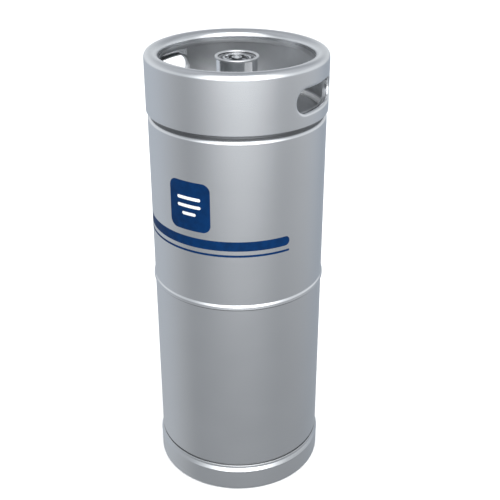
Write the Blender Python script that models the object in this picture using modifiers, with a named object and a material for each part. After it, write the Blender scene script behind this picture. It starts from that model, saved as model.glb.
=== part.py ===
"""Slim one-sixth-barrel stainless steel beer keg with a drop-in spear valve.

Metres, +Z up. The origin is the centre of the foot ring's flat base, on the
floor, and the two handholes in the top chime face +X and -X. The steel pieces
are drawn sheet: each is an open profile turned about Z and thickened inwards.
The valve's pieces are turned solids and coils on the same axis.
"""

import math

import bmesh
import bpy

MM = 0.001

# Whole keg
KEG_HEIGHT = 612.4 * MM
BODY_R = 115.86 * MM
SHELL_T = 1.5 * MM
GAP = 0.3 * MM
RING_STEPS = 48
VALVE_STEPS = 32
STEM_STEPS = 24
BEND_STEPS = 3
MERGE_DISTANCE = 0.05 * MM

# Torispherical ends: a knuckle that is tangent to the wall and to the crown
TOP_CROWN_R = 240 * MM
TOP_KNUCKLE_R = 5 * MM
TOP_KNUCKLE_Z = 526 * MM
BASE_CROWN_R = 280 * MM
BASE_KNUCKLE_R = 7.5 * MM
BASE_KNUCKLE_Z = 41 * MM
SUMP_RIM_R = 24 * MM
SUMP_FLOOR_R = 18 * MM
SUMP_FLOOR_Z = 8.2 * MM

# Girth joint: the upper half's bell over the plain top edge of the lower half
BELL_R = BODY_R + GAP + SHELL_T
BELL_TOP_Z = 306.5 * MM
BELL_CORNER_Z = 303.9 * MM
BELL_BASE_Z = 299.4 * MM
LAP_TOP_Z = 303 * MM

# Top chime: a rolled rim, a plain wall, and a cone down to a spigot
CHIME_T = 2 * MM
CHIME_R = 117.5 * MM
CHIME_BASE_Z = 537.8 * MM
RIM_OUTER_BEND = 8.2 * MM
RIM_INNER_R = 98.8 * MM
RIM_INNER_BEND = 9.8 * MM
RIM_LIP_Z = KEG_HEIGHT - 16.6 * MM
SPIGOT_R = 113.4 * MM
SPIGOT_TOP_Z = 532.8 * MM
SPIGOT_BASE_Z = 531.3 * MM

# Handholes: slots with round ends, each with a flange turned inwards
HANDHOLE_Z = 568.8 * MM
HANDHOLE_LENGTH = 87.5 * MM
HANDHOLE_HEIGHT = 30 * MM
FLANGE_T = 2 * MM
FLANGE_INNER_R = 108.5 * MM
FLANGE_OUTER_R = 116.4 * MM
FLANGE_CUT_NEAR_X = 90 * MM
FLANGE_CUT_FAR_X = 130 * MM
HOLE_CUT_REACH = 140 * MM
HANDHOLE_STEPS = 10

# Foot ring: a collar round the necked-in body, a bevel, a skirt and a rolled base
FOOT_T = 1.8 * MM
FOOT_TOP_Z = 43 * MM
FOOT_COLLAR_R = 116.3 * MM
FOOT_BEVEL_TOP_Z = 39.1 * MM
FOOT_BEVEL_BASE_Z = 33.1 * MM
FOOT_R = 118.3 * MM
FOOT_BEND = 5.6 * MM
FOOT_INNER_R = 101 * MM
FOOT_LIP_Z = 13.5 * MM
NECKED_R = FOOT_COLLAR_R - FOOT_T - GAP
NECKING_TOP_Z = 46 * MM
NECKING_BASE_Z = 45.2 * MM

# Valve neck
NECK_TOP_Z = 604 * MM
NECK_BASE_Z = 549.5 * MM
NECK_R = 26.45 * MM
NECK_BEAD_R = 28.2 * MM
NECK_BEAD_BEND = 1.3 * MM
NECK_WALL_TOP_Z = 600 * MM
NECK_MOUTH_R = 24.7 * MM
NECK_FUNNEL_R = 24.2 * MM
NECK_FUNNEL_Z = 601.9 * MM
NECK_BORE_R = 22.5 * MM
NECK_BORE_TOP_Z = 601.5 * MM
NECK_LEDGE_Z = 592.5 * MM
NECK_LOWER_BORE_R = 19.5 * MM
GROOVE_R = 24 * MM
GROOVE_BASE_Z = 598.4 * MM
GROOVE_TOP_Z = 600.2 * MM
RING_INNER_R = 20.9 * MM
RING_SPLIT_WIDTH = 5 * MM
NECK_SEAL_SLANT = 0.4 * MM

# Spear housing
CROWN_TOP_Z = 601.4 * MM
CROWN_R = 18.2 * MM
CROWN_BORE_R = 15 * MM
HOUSING_FLANGE_R = NECK_BORE_R - GAP
HOUSING_FLANGE_TOP_Z = 598.3 * MM
HOUSING_FLANGE_BASE_Z = 594.4 * MM
HOUSING_R = NECK_LOWER_BORE_R - GAP
HOUSING_BORE_R = 17.4 * MM
HOUSING_BASE_Z = 554 * MM
SEAT_R = 13.2 * MM
SEAT_Z = 594 * MM
SEAT_LAND_TOP_Z = 595 * MM
SEAT_FUNNEL_TOP_Z = 596.4 * MM
LUG_SLOT_WIDTH = 9 * MM
LUG_SLOT_REACH = 17 * MM
LUG_SLOT_FLOOR_Z = 597.4 * MM

# Basket under the housing, with the bush and the washer that sit in it
CAGE_TOP_Z = 560 * MM
CAGE_BASE_Z = 530 * MM
CAGE_FLOOR_T = 2 * MM
CAGE_COLLAR_BORE_R = 15.4 * MM
CAGE_SHOULDER_TOP_Z = 553.2 * MM
CAGE_SHOULDER_BASE_Z = 551.5 * MM
CAGE_PORT_WIDTH = 12 * MM
CAGE_PORT_BASE_Z = 535 * MM
CAGE_PORT_TOP_Z = 549 * MM
BUSH_SOCKET_R = 8.8 * MM
BUSH_LIP_R = 10 * MM
BUSH_LIP_T = 1 * MM
BUSH_BASE_Z = 528 * MM
WASHER_INNER_R = 10.3 * MM
WASHER_OUTER_R = 14 * MM
WASHER_T = 1 * MM

# Stem: the head, its seal, the down tube and the ball inside them
STEM_TOP_Z = 602.3 * MM
STEM_R = 6.7 * MM
BALL_SEAT_R = 4.6 * MM
BALL_SEAT_Z = 600.2 * MM
BALL_CHAMBER_R = 5.6 * MM
BALL_CHAMBER_TOP_Z = 599.4 * MM
BALL_R = 5.2 * MM
BALL_Z = 597.4 * MM
BALL_STEPS = 20
SEAL_PLATE_TOP_Z = 589.4 * MM
SEAL_PLATE_T = 1.2 * MM
SEAL_PLATE_R = 15.2 * MM
SEAL_R = 15.6 * MM
SEAL_BOSS_R = 12.8 * MM
SEAL_BOSS_TOP_Z = 596.6 * MM
SEAL_BOSS_BEVEL = 0.8 * MM
STEM_SHOULDER_R = 8 * MM
STEM_BASE_Z = 581 * MM
TUBE_TOP_Z = 587.3 * MM
TUBE_BASE_Z = 17 * MM
TUBE_R = 6.2 * MM
TUBE_T = 0.8 * MM
TUBE_NOTCH_WIDTH = 5 * MM
TUBE_NOTCH_HEIGHT = 4 * MM
SPRING_SEAT_BORE_R = 2.6 * MM
SPRING_SEAT_T = 1.5 * MM

# Springs
GAS_SPRING_R = 11.5 * MM
GAS_SPRING_WIRE_R = 0.9 * MM
GAS_SPRING_BASE_Z = 534.5 * MM
GAS_SPRING_TOP_Z = 586.9 * MM
GAS_SPRING_TURNS = 7
BALL_SPRING_R = 3.8 * MM
BALL_SPRING_WIRE_R = 0.4 * MM
BALL_SPRING_BASE_Z = 576.7 * MM
BALL_SPRING_TOP_Z = 591.4 * MM
BALL_SPRING_TURNS = 5
COIL_STEPS = 12

STEEL = (0.62, 0.645, 0.67, 1)
BRIGHT_STEEL = (0.72, 0.74, 0.76, 1)
SPRING_STEEL = (0.45, 0.46, 0.48, 1)
BLACK_RUBBER = (0.018, 0.018, 0.02, 1)
WHITE_ACETAL = (0.8, 0.8, 0.78, 1)


def clear_scene():
    for item in list(bpy.data.objects):
        bpy.data.objects.remove(item, do_unlink=True)


def new_collection(name):
    group = bpy.data.collections.new(name)
    bpy.context.scene.collection.children.link(group)
    return group


def new_material(name, colour, roughness, metallic):
    material = bpy.data.materials.new(name)
    material.use_nodes = True
    shader = material.node_tree.nodes["Principled BSDF"]
    shader.inputs["Base Color"].default_value = colour
    shader.inputs["Roughness"].default_value = roughness
    shader.inputs["Metallic"].default_value = metallic
    material.diffuse_color = colour
    return material


def arc(centre_r, centre_z, radius, start, end, steps):
    """Points of an arc in the (r, z) half-plane, its angles in degrees from +r."""
    points = []
    for step in range(steps + 1):
        angle = math.radians(start + (end - start) * step / steps)
        r = centre_r + radius * math.cos(angle)
        z = centre_z + radius * math.sin(angle)
        points.append((r, z))
    return points


def dished_end(wall_r, crown_r, knuckle_r, knuckle_z, hole_r, side):
    """Crown and knuckle from a hole in the middle out to the wall; side is 1 up, -1 down."""
    run = crown_r - knuckle_r
    knuckle_centre_r = wall_r - knuckle_r
    crown_centre_z = knuckle_z - side * math.sqrt(run ** 2 - knuckle_centre_r ** 2)
    hole_angle = math.degrees(math.acos(hole_r / crown_r))
    tangent_angle = math.degrees(math.acos(knuckle_centre_r / run))
    crown = arc(0, crown_centre_z, crown_r, side * hole_angle, side * tangent_angle, BEND_STEPS)
    knuckle = arc(knuckle_centre_r, knuckle_z, knuckle_r, side * tangent_angle, 0, BEND_STEPS)
    return crown + knuckle[1:]


def add_object(name, mesh, material, group):
    item = bpy.data.objects.new(name, mesh)
    if material:
        mesh.materials.append(material)
    group.objects.link(item)
    return item


def hide_cutter(item):
    item.hide_render = True
    item.display_type = "WIRE"


def turned(name, points, material, group, closed=True, steps=VALVE_STEPS):
    """Turn an (r, z) profile about Z. It runs down its outer side."""
    mesh = bpy.data.meshes.new(name)
    edges = [(index, index + 1) for index in range(len(points) - 1)]
    if closed:
        edges.append((len(points) - 1, 0))
    mesh.from_pydata([(r, 0, z) for r, z in points], edges, [])
    item = add_object(name, mesh, material, group)
    screw = item.modifiers.new("Turn", "SCREW")
    screw.axis = "Z"
    screw.steps = steps
    screw.render_steps = steps
    screw.use_merge_vertices = True
    screw.merge_threshold = MERGE_DISTANCE
    screw.use_smooth_shade = True
    return item


def drawn_sheet(name, points, thickness, material, group):
    """Turn an open profile of a sheet's outer face, then thicken it inwards."""
    item = turned(name, points, material, group, closed=False, steps=RING_STEPS)
    solidify = item.modifiers.new("Sheet", "SOLIDIFY")
    solidify.thickness = thickness
    solidify.offset = -1
    solidify.use_even_offset = True
    return item


def boolean(item, other, operation):
    modifier = item.modifiers.new(operation.title(), "BOOLEAN")
    modifier.operation = operation
    modifier.solver = "EXACT"
    modifier.object = other


def box(name, size, centre, group, turn=0.0):
    """A cutter box of the given size, turned about Z by an angle in degrees."""
    bpy.ops.mesh.primitive_cube_add(size=1, location=centre)
    item = bpy.context.object
    item.name = name
    item.scale = size
    item.rotation_euler = (0, 0, math.radians(turn))
    for owner in list(item.users_collection):
        owner.objects.unlink(item)
    group.objects.link(item)
    hide_cutter(item)
    return item


def slot_prism(name, length, height, near_x, far_x, group):
    """A prism with round ends, its outline in the YZ plane, that runs along X."""
    half_run = (length - height) / 2
    outline = arc(half_run, HANDHOLE_Z, height / 2, -90, 90, HANDHOLE_STEPS)
    outline += arc(-half_run, HANDHOLE_Z, height / 2, 90, 270, HANDHOLE_STEPS)
    mesh = bpy.data.meshes.new(name)
    work = bmesh.new()
    face = work.faces.new([work.verts.new((near_x, y, z)) for y, z in outline])
    extruded = bmesh.ops.extrude_face_region(work, geom=[face])["geom"]
    corners = [part for part in extruded if isinstance(part, bmesh.types.BMVert)]
    bmesh.ops.translate(work, verts=corners, vec=(far_x - near_x, 0, 0))
    bmesh.ops.recalc_face_normals(work, faces=work.faces)
    work.to_mesh(mesh)
    work.free()
    item = add_object(name, mesh, None, group)
    hide_cutter(item)
    return item


def coil_height(turn, turns, base_z, top_z, closed_pitch):
    """Height of the wire's centre after some turns; the first and last turn lie flat."""
    if turn < 1:
        return base_z + closed_pitch * turn
    if turn > turns - 1:
        return top_z - closed_pitch * (turns - turn)
    share = (turn - 1) / (turns - 2)
    return base_z + closed_pitch + share * (top_z - base_z - 2 * closed_pitch)


def coil(name, radius, wire_r, base_z, top_z, turns, material, group):
    """A round-wire compression spring, between the wire's lowest and highest centres."""
    curve = bpy.data.curves.new(name + "_wire", "CURVE")
    curve.dimensions = "3D"
    curve.bevel_depth = wire_r
    curve.bevel_resolution = 2
    curve.use_fill_caps = True
    spline = curve.splines.new("POLY")
    spline.points.add(turns * COIL_STEPS)
    closed_pitch = 2 * wire_r + GAP
    for index, point in enumerate(spline.points):
        turn = index / COIL_STEPS
        angle = 2 * math.pi * turn
        z = coil_height(turn, turns, base_z, top_z, closed_pitch)
        point.co = (radius * math.cos(angle), radius * math.sin(angle), z, 1)
    item = bpy.data.objects.new(name, curve)
    curve.materials.append(material)
    group.objects.link(item)
    return item


def make_upper_shell(steel, parts):
    points = dished_end(BODY_R, TOP_CROWN_R, TOP_KNUCKLE_R, TOP_KNUCKLE_Z, NECK_R + GAP, 1)
    points += [(BODY_R, BELL_TOP_Z), (BELL_R, BELL_CORNER_Z), (BELL_R, BELL_BASE_Z)]
    return drawn_sheet("upper_shell", points, SHELL_T, steel, parts)


def make_lower_shell(steel, parts):
    points = [(BODY_R, LAP_TOP_Z), (BODY_R, NECKING_TOP_Z), (NECKED_R, NECKING_BASE_Z)]
    base = dished_end(NECKED_R, BASE_CROWN_R, BASE_KNUCKLE_R, BASE_KNUCKLE_Z, SUMP_RIM_R, -1)
    points += reversed(base)
    points += [(SUMP_FLOOR_R, SUMP_FLOOR_Z), (0, SUMP_FLOOR_Z)]
    return drawn_sheet("lower_shell", points, SHELL_T, steel, parts)


def make_handhole_flange(parts_of_chime, cutters, side):
    """The ring of turned-in metal round one handhole, between two radii of the wall."""
    length = HANDHOLE_LENGTH + 2 * FLANGE_T
    height = HANDHOLE_HEIGHT + 2 * FLANGE_T
    name = "flange_right" if side > 0 else "flange_left"
    near_x, far_x = side * FLANGE_CUT_NEAR_X, side * FLANGE_CUT_FAR_X
    flange = slot_prism(name, length, height, near_x, far_x, cutters)
    low = HANDHOLE_Z - HANDHOLE_HEIGHT
    high = HANDHOLE_Z + HANDHOLE_HEIGHT
    band = [(FLANGE_OUTER_R, high), (FLANGE_OUTER_R, low), (FLANGE_INNER_R, low), (FLANGE_INNER_R, high)]
    ring = turned(name + "_band", band, None, cutters, steps=RING_STEPS)
    hide_cutter(ring)
    boolean(flange, ring, "INTERSECT")
    boolean(parts_of_chime, flange, "UNION")


def make_top_chime(steel, parts, cutters):
    points = [(RIM_INNER_R, RIM_LIP_Z)]
    inner_centre_r = RIM_INNER_R + RIM_INNER_BEND
    points += arc(inner_centre_r, KEG_HEIGHT - RIM_INNER_BEND, RIM_INNER_BEND, 180, 90, BEND_STEPS)
    outer_centre_r = CHIME_R - RIM_OUTER_BEND
    points += arc(outer_centre_r, KEG_HEIGHT - RIM_OUTER_BEND, RIM_OUTER_BEND, 90, 0, BEND_STEPS)
    points += [(CHIME_R, CHIME_BASE_Z), (SPIGOT_R, SPIGOT_TOP_Z), (SPIGOT_R, SPIGOT_BASE_Z)]
    chime = drawn_sheet("top_chime", points, CHIME_T, steel, parts)
    make_handhole_flange(chime, cutters, 1)
    make_handhole_flange(chime, cutters, -1)
    size = HANDHOLE_LENGTH, HANDHOLE_HEIGHT
    hole = slot_prism("handhole_cutter", *size, -HOLE_CUT_REACH, HOLE_CUT_REACH, cutters)
    boolean(chime, hole, "DIFFERENCE")
    return chime


def make_foot_ring(steel, parts):
    points = [(FOOT_COLLAR_R, FOOT_TOP_Z), (FOOT_COLLAR_R, FOOT_BEVEL_TOP_Z)]
    points += [(FOOT_R, FOOT_BEVEL_BASE_Z)]
    points += arc(FOOT_R - FOOT_BEND, FOOT_BEND, FOOT_BEND, 0, -90, BEND_STEPS)
    points += arc(FOOT_INNER_R + FOOT_BEND, FOOT_BEND, FOOT_BEND, -90, -180, BEND_STEPS)
    points += [(FOOT_INNER_R, FOOT_LIP_Z)]
    return drawn_sheet("foot_ring", points, FOOT_T, steel, parts)


def make_valve_neck(steel, parts):
    bead_centre_r = NECK_BEAD_R - NECK_BEAD_BEND
    bead_centre_z = NECK_TOP_Z - NECK_BEAD_BEND
    points = [(NECK_MOUTH_R, NECK_TOP_Z)]
    points += arc(bead_centre_r, bead_centre_z, NECK_BEAD_BEND, 90, -75, 4)
    points += [(NECK_R, NECK_WALL_TOP_Z), (NECK_R, NECK_BASE_Z), (NECK_LOWER_BORE_R, NECK_BASE_Z)]
    points += [(NECK_LOWER_BORE_R, NECK_LEDGE_Z), (NECK_BORE_R, NECK_LEDGE_Z)]
    points += [(NECK_BORE_R, GROOVE_BASE_Z), (GROOVE_R, GROOVE_BASE_Z)]
    points += [(GROOVE_R, GROOVE_TOP_Z), (NECK_BORE_R, GROOVE_TOP_Z)]
    points += [(NECK_BORE_R, NECK_BORE_TOP_Z), (NECK_FUNNEL_R, NECK_FUNNEL_Z)]
    return turned("valve_neck", points, steel, parts)


def make_neck_seal(rubber, parts):
    inner, outer = NECK_LOWER_BORE_R + GAP, HOUSING_FLANGE_R
    base, top = NECK_LEDGE_Z + GAP, HOUSING_FLANGE_BASE_Z - GAP
    mid = (base + top) / 2
    slant = NECK_SEAL_SLANT
    points = [(inner + slant, top), (outer - slant, top), (outer, mid), (outer - slant, base)]
    points += [(inner + slant, base), (inner, mid)]
    return turned("neck_seal", points, rubber, parts)


def make_retaining_ring(steel, parts, cutters):
    """A flat snap ring that springs out into the neck's groove; its ends leave a gap."""
    inner, outer = RING_INNER_R, GROOVE_R - GAP
    base, top = GROOVE_BASE_Z + GAP, GROOVE_TOP_Z - GAP
    ring = turned("retaining_ring", [(outer, top), (outer, base), (inner, base), (inner, top)], steel, parts)
    split_size = (RING_SPLIT_WIDTH, 3 * (outer - inner), 3 * (top - base))
    split_centre = (0, -(inner + outer) / 2, (base + top) / 2)
    split = box("ring_split_cutter", split_size, split_centre, cutters)
    boolean(ring, split, "DIFFERENCE")
    return ring


def make_valve_body(steel, parts, cutters):
    points = [(CROWN_BORE_R, CROWN_TOP_Z), (CROWN_R, CROWN_TOP_Z), (CROWN_R, HOUSING_FLANGE_TOP_Z)]
    points += [(HOUSING_FLANGE_R, HOUSING_FLANGE_TOP_Z), (HOUSING_FLANGE_R, HOUSING_FLANGE_BASE_Z)]
    points += [(HOUSING_R, HOUSING_FLANGE_BASE_Z), (HOUSING_R, HOUSING_BASE_Z)]
    points += [(HOUSING_BORE_R, HOUSING_BASE_Z), (HOUSING_BORE_R, SEAT_Z), (SEAT_R, SEAT_Z)]
    points += [(SEAT_R, SEAT_LAND_TOP_Z), (CROWN_BORE_R, SEAT_FUNNEL_TOP_Z)]
    body = turned("valve_body", points, steel, parts)
    slot_size = (2 * LUG_SLOT_REACH, LUG_SLOT_WIDTH, 2 * (CROWN_TOP_Z - LUG_SLOT_FLOOR_Z))
    slots = box("lug_slot_cutter", slot_size, (0, 0, CROWN_TOP_Z), cutters)
    boolean(body, slots, "DIFFERENCE")
    return body


def make_valve_cage(acetal, parts, cutters):
    collar_r = HOUSING_BORE_R - GAP
    top_z = HOUSING_BASE_Z - GAP
    points = [(CAGE_COLLAR_BORE_R, CAGE_TOP_Z), (collar_r, CAGE_TOP_Z), (collar_r, top_z), (HOUSING_R, top_z)]
    points += [(HOUSING_R, CAGE_BASE_Z), (BUSH_SOCKET_R, CAGE_BASE_Z)]
    points += [(BUSH_SOCKET_R, CAGE_BASE_Z + CAGE_FLOOR_T), (HOUSING_BORE_R, CAGE_BASE_Z + CAGE_FLOOR_T)]
    points += [(HOUSING_BORE_R, CAGE_SHOULDER_BASE_Z), (CAGE_COLLAR_BORE_R, CAGE_SHOULDER_TOP_Z)]
    cage = turned("valve_cage", points, acetal, parts)
    port_height = CAGE_PORT_TOP_Z - CAGE_PORT_BASE_Z
    port_z = (CAGE_PORT_TOP_Z + CAGE_PORT_BASE_Z) / 2
    for name, turn in (("port_cutter_a", 0), ("port_cutter_b", 90)):
        size = (3 * HOUSING_R, CAGE_PORT_WIDTH, port_height)
        ports = box(name, size, (0, 0, port_z), cutters, turn=turn)
        boolean(cage, ports, "DIFFERENCE")
    return cage


def make_guide_bush(acetal, parts):
    bore, outer = TUBE_R + GAP, BUSH_SOCKET_R - GAP
    lip_base = CAGE_BASE_Z + CAGE_FLOOR_T + GAP
    lip_top = lip_base + BUSH_LIP_T
    points = [(bore, lip_top), (BUSH_LIP_R, lip_top), (BUSH_LIP_R, lip_base), (outer, lip_base)]
    points += [(outer, BUSH_BASE_Z), (bore, BUSH_BASE_Z)]
    return turned("guide_bush", points, acetal, parts, steps=STEM_STEPS)


def make_spring_washer(steel, parts):
    inner, outer = WASHER_INNER_R, WASHER_OUTER_R
    base = CAGE_BASE_Z + CAGE_FLOOR_T + GAP
    top = base + WASHER_T
    points = [(outer, top), (outer, base), (inner, base), (inner, top)]
    return turned("spring_washer", points, steel, parts)


def make_stem_head(steel, parts):
    points = [(BALL_SEAT_R, STEM_TOP_Z), (STEM_R, STEM_TOP_Z), (STEM_R, SEAL_PLATE_TOP_Z)]
    shoulder_z = SEAL_PLATE_TOP_Z - SEAL_PLATE_T - GAP
    points += [(STEM_R, shoulder_z), (STEM_SHOULDER_R, shoulder_z), (STEM_SHOULDER_R, STEM_BASE_Z)]
    points += [(TUBE_R + GAP, STEM_BASE_Z), (TUBE_R + GAP, TUBE_TOP_Z + GAP)]
    points += [(BALL_CHAMBER_R, TUBE_TOP_Z + GAP), (BALL_CHAMBER_R, BALL_CHAMBER_TOP_Z)]
    points += [(BALL_SEAT_R, BALL_SEAT_Z)]
    return turned("stem_head", points, steel, parts, steps=STEM_STEPS)


def make_seal_plate(steel, parts):
    inner = STEM_R + GAP
    base = SEAL_PLATE_TOP_Z - SEAL_PLATE_T
    points = [(SEAL_PLATE_R, SEAL_PLATE_TOP_Z), (SEAL_PLATE_R, base), (inner, base), (inner, SEAL_PLATE_TOP_Z)]
    return turned("seal_plate", points, steel, parts, steps=STEM_STEPS)


def make_gas_seal(rubber, parts):
    inner = STEM_R + GAP
    base, shoulder = SEAL_PLATE_TOP_Z + GAP, SEAT_Z - GAP
    points = [(inner, SEAL_BOSS_TOP_Z), (SEAL_BOSS_R - SEAL_BOSS_BEVEL, SEAL_BOSS_TOP_Z)]
    points += [(SEAL_BOSS_R, SEAL_BOSS_TOP_Z - SEAL_BOSS_BEVEL), (SEAL_BOSS_R, shoulder)]
    points += [(SEAL_R, shoulder), (SEAL_R, base), (inner, base)]
    return turned("gas_seal", points, rubber, parts, steps=STEM_STEPS)


def make_down_tube(steel, parts, cutters):
    bore = TUBE_R - TUBE_T
    points = [(bore, TUBE_TOP_Z), (TUBE_R, TUBE_TOP_Z), (TUBE_R, TUBE_BASE_Z), (bore, TUBE_BASE_Z)]
    tube = turned("down_tube", points, steel, parts, steps=STEM_STEPS)
    notch_size = (3 * TUBE_R, TUBE_NOTCH_WIDTH, 2 * TUBE_NOTCH_HEIGHT)
    notches = box("tube_notch_cutter", notch_size, (0, 0, TUBE_BASE_Z), cutters)
    boolean(tube, notches, "DIFFERENCE")
    return tube


def make_ball_spring_seat(steel, parts):
    outer, bore = TUBE_R - TUBE_T - GAP, SPRING_SEAT_BORE_R
    top = BALL_SPRING_BASE_Z - BALL_SPRING_WIRE_R - GAP
    base = top - SPRING_SEAT_T
    points = [(outer, top), (outer, base), (bore, base), (bore, top)]
    return turned("ball_spring_seat", points, steel, parts, steps=STEM_STEPS)


def make_valve_ball(steel, parts):
    mesh = bpy.data.meshes.new("valve_ball")
    work = bmesh.new()
    bmesh.ops.create_uvsphere(work, u_segments=BALL_STEPS, v_segments=BALL_STEPS // 2, radius=BALL_R)
    work.to_mesh(mesh)
    work.free()
    mesh.shade_smooth()
    ball = add_object("valve_ball", mesh, steel, parts)
    ball.location = (0, 0, BALL_Z)
    return ball


def build_keg():
    clear_scene()
    parts = new_collection("beer_keg")
    cutters = new_collection("cutters")
    make_upper_shell(new_material("shell_steel_upper", STEEL, 0.3, 1), parts)
    make_lower_shell(new_material("shell_steel_lower", STEEL, 0.3, 1), parts)
    make_top_chime(new_material("chime_steel", STEEL, 0.28, 1), parts, cutters)
    make_foot_ring(new_material("foot_steel", STEEL, 0.28, 1), parts)
    make_valve_neck(new_material("neck_steel", BRIGHT_STEEL, 0.2, 1), parts)
    make_neck_seal(new_material("neck_seal_rubber", BLACK_RUBBER, 0.6, 0), parts)
    make_retaining_ring(new_material("ring_steel", SPRING_STEEL, 0.3, 1), parts, cutters)
    make_valve_body(new_material("housing_steel", BRIGHT_STEEL, 0.25, 1), parts, cutters)
    make_valve_cage(new_material("cage_acetal", WHITE_ACETAL, 0.45, 0), parts, cutters)
    make_guide_bush(new_material("bush_acetal", WHITE_ACETAL, 0.45, 0), parts)
    make_spring_washer(new_material("washer_steel", BRIGHT_STEEL, 0.3, 1), parts)
    make_stem_head(new_material("stem_steel", BRIGHT_STEEL, 0.2, 1), parts)
    make_seal_plate(new_material("plate_steel", BRIGHT_STEEL, 0.3, 1), parts)
    make_gas_seal(new_material("gas_seal_rubber", BLACK_RUBBER, 0.55, 0), parts)
    make_down_tube(new_material("tube_steel", BRIGHT_STEEL, 0.25, 1), parts, cutters)
    make_ball_spring_seat(new_material("seat_steel", BRIGHT_STEEL, 0.3, 1), parts)
    make_valve_ball(new_material("ball_steel", BRIGHT_STEEL, 0.1, 1), parts)
    wire = new_material("gas_spring_steel", SPRING_STEEL, 0.3, 1)
    coil("gas_spring", GAS_SPRING_R, GAS_SPRING_WIRE_R, GAS_SPRING_BASE_Z, GAS_SPRING_TOP_Z,
         GAS_SPRING_TURNS, wire, parts)
    wire = new_material("ball_spring_steel", SPRING_STEEL, 0.3, 1)
    coil("ball_spring", BALL_SPRING_R, BALL_SPRING_WIRE_R, BALL_SPRING_BASE_Z, BALL_SPRING_TOP_Z,
         BALL_SPRING_TURNS, wire, parts)


build_keg()
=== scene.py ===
"""Looks, light and camera for the beer keg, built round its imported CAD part.

Metres, +Z up, in the CAD part's own frame: the keg stands on z = 0 round the Z axis,
with a handhole at +X and one at -X. Each CAD node is replaced by a finer piece that is
turned from a section with real bends, and that rides on the same body.
"""
import math

import bmesh
import bpy
import numpy as np
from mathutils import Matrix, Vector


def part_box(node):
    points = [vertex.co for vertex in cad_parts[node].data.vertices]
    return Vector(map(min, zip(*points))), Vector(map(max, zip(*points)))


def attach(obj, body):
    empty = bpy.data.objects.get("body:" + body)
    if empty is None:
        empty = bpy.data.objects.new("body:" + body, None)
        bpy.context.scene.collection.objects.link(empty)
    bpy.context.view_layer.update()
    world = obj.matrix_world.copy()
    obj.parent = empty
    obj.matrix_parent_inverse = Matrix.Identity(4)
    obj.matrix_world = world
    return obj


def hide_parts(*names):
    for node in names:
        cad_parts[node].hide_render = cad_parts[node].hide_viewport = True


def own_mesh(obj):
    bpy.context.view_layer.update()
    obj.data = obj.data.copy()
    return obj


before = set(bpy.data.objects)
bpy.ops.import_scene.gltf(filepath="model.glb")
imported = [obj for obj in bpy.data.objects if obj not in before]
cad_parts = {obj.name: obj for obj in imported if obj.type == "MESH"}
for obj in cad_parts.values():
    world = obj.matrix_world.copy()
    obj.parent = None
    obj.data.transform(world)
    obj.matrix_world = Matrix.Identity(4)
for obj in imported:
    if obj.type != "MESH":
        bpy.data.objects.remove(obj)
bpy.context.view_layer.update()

MM = 0.001


def reach(node):
    """A turned CAD node's outer radius, base height and top height, in millimetres."""
    low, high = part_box(node)
    return high.x / MM, low.z / MM, high.z / MM


# ---------------------------------------------------------------- sections
# A section is a list of (r, z) or (r, z, bend) in millimetres. A bend rounds its corner.

def arc(centre_r, centre_z, radius, start, end, steps):
    """Points of an arc in the (r, z) half-plane, its angles in degrees from +r."""
    turns = np.radians(np.linspace(start, end, steps + 1))
    return [(centre_r + radius * math.cos(a), centre_z + radius * math.sin(a)) for a in turns]


def rounded_corner(before, corner, after, bend, step=9.0):
    """The arc that takes a corner's place, or the corner if there is no room for it."""
    before, corner, after = (np.array(p[:2], float) for p in (before, corner, after))
    u, v = before - corner, after - corner
    room = 0.49 * min(np.linalg.norm(u), np.linalg.norm(v))
    u, v = u / np.linalg.norm(u), v / np.linalg.norm(v)
    opening = math.acos(max(-1.0, min(1.0, float(u @ v))))
    if math.pi - opening < 0.01:
        return [tuple(corner)]
    run = min(bend / math.tan(opening / 2), room)
    bend = run * math.tan(opening / 2)
    centre = corner + (u + v) / np.linalg.norm(u + v) * bend / math.sin(opening / 2)
    first, last = corner + u * run - centre, corner + v * run - centre
    start = math.atan2(first[1], first[0])
    sweep = math.remainder(math.atan2(last[1], last[0]) - start, 2 * math.pi)
    steps = max(2, math.ceil(math.degrees(abs(sweep)) / step))
    turns = [start + sweep * k / steps for k in range(steps + 1)]
    return [(centre[0] + bend * math.cos(a), centre[1] + bend * math.sin(a)) for a in turns]


def rounded(points, closed=False):
    """The same line with its bends put in."""
    line = []
    for k, point in enumerate(points):
        inner = closed or 0 < k < len(points) - 1
        if len(point) > 2 and inner:
            after = points[(k + 1) % len(points)]
            line += rounded_corner(points[k - 1], point, after, point[2])
        else:
            line.append(tuple(point[:2]))
    return line


def offset(line, distance):
    """The line moved sideways, to the right of the way that it runs."""
    line = np.array(line, float)
    steps = np.diff(line, axis=0)
    steps /= np.linalg.norm(steps, axis=1)[:, None]
    sides = np.stack([steps[:, 1], -steps[:, 0]], axis=1)
    first, last = np.vstack([sides[:1], sides]), np.vstack([sides, sides[-1:]])
    mean = first + last
    mean /= (mean * mean).sum(axis=1)[:, None] / 2
    return [tuple(p) for p in line + distance * mean]


def sheet(outer, thickness, edge=0.35):
    """The closed section of a sheet from the line of its outer face."""
    outer = rounded(outer)
    inner = offset(outer, thickness)[::-1]
    bend = edge * thickness
    ends = [outer[0] + (bend,)] + outer[1:-1] + [outer[-1] + (bend,)]
    ends += [inner[0] + (bend,)] + inner[1:-1] + [inner[-1] + (bend,)]
    return rounded(ends, closed=True)


def supported(line, closed, longest=3.0, margin=0.5):
    """Adds points close to both ends of each long straight, so that its shading stays flat."""
    made = []
    count = len(line)
    for k in range(count):
        here, there = np.array(line[k]), np.array(line[(k + 1) % count])
        made.append(tuple(here))
        length = np.linalg.norm(there - here)
        if length > longest and (closed or k < count - 1):
            made.append(tuple(here + (there - here) * margin / length))
            made.append(tuple(there + (here - there) * margin / length))
    return made


# ---------------------------------------------------------------- pieces

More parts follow.
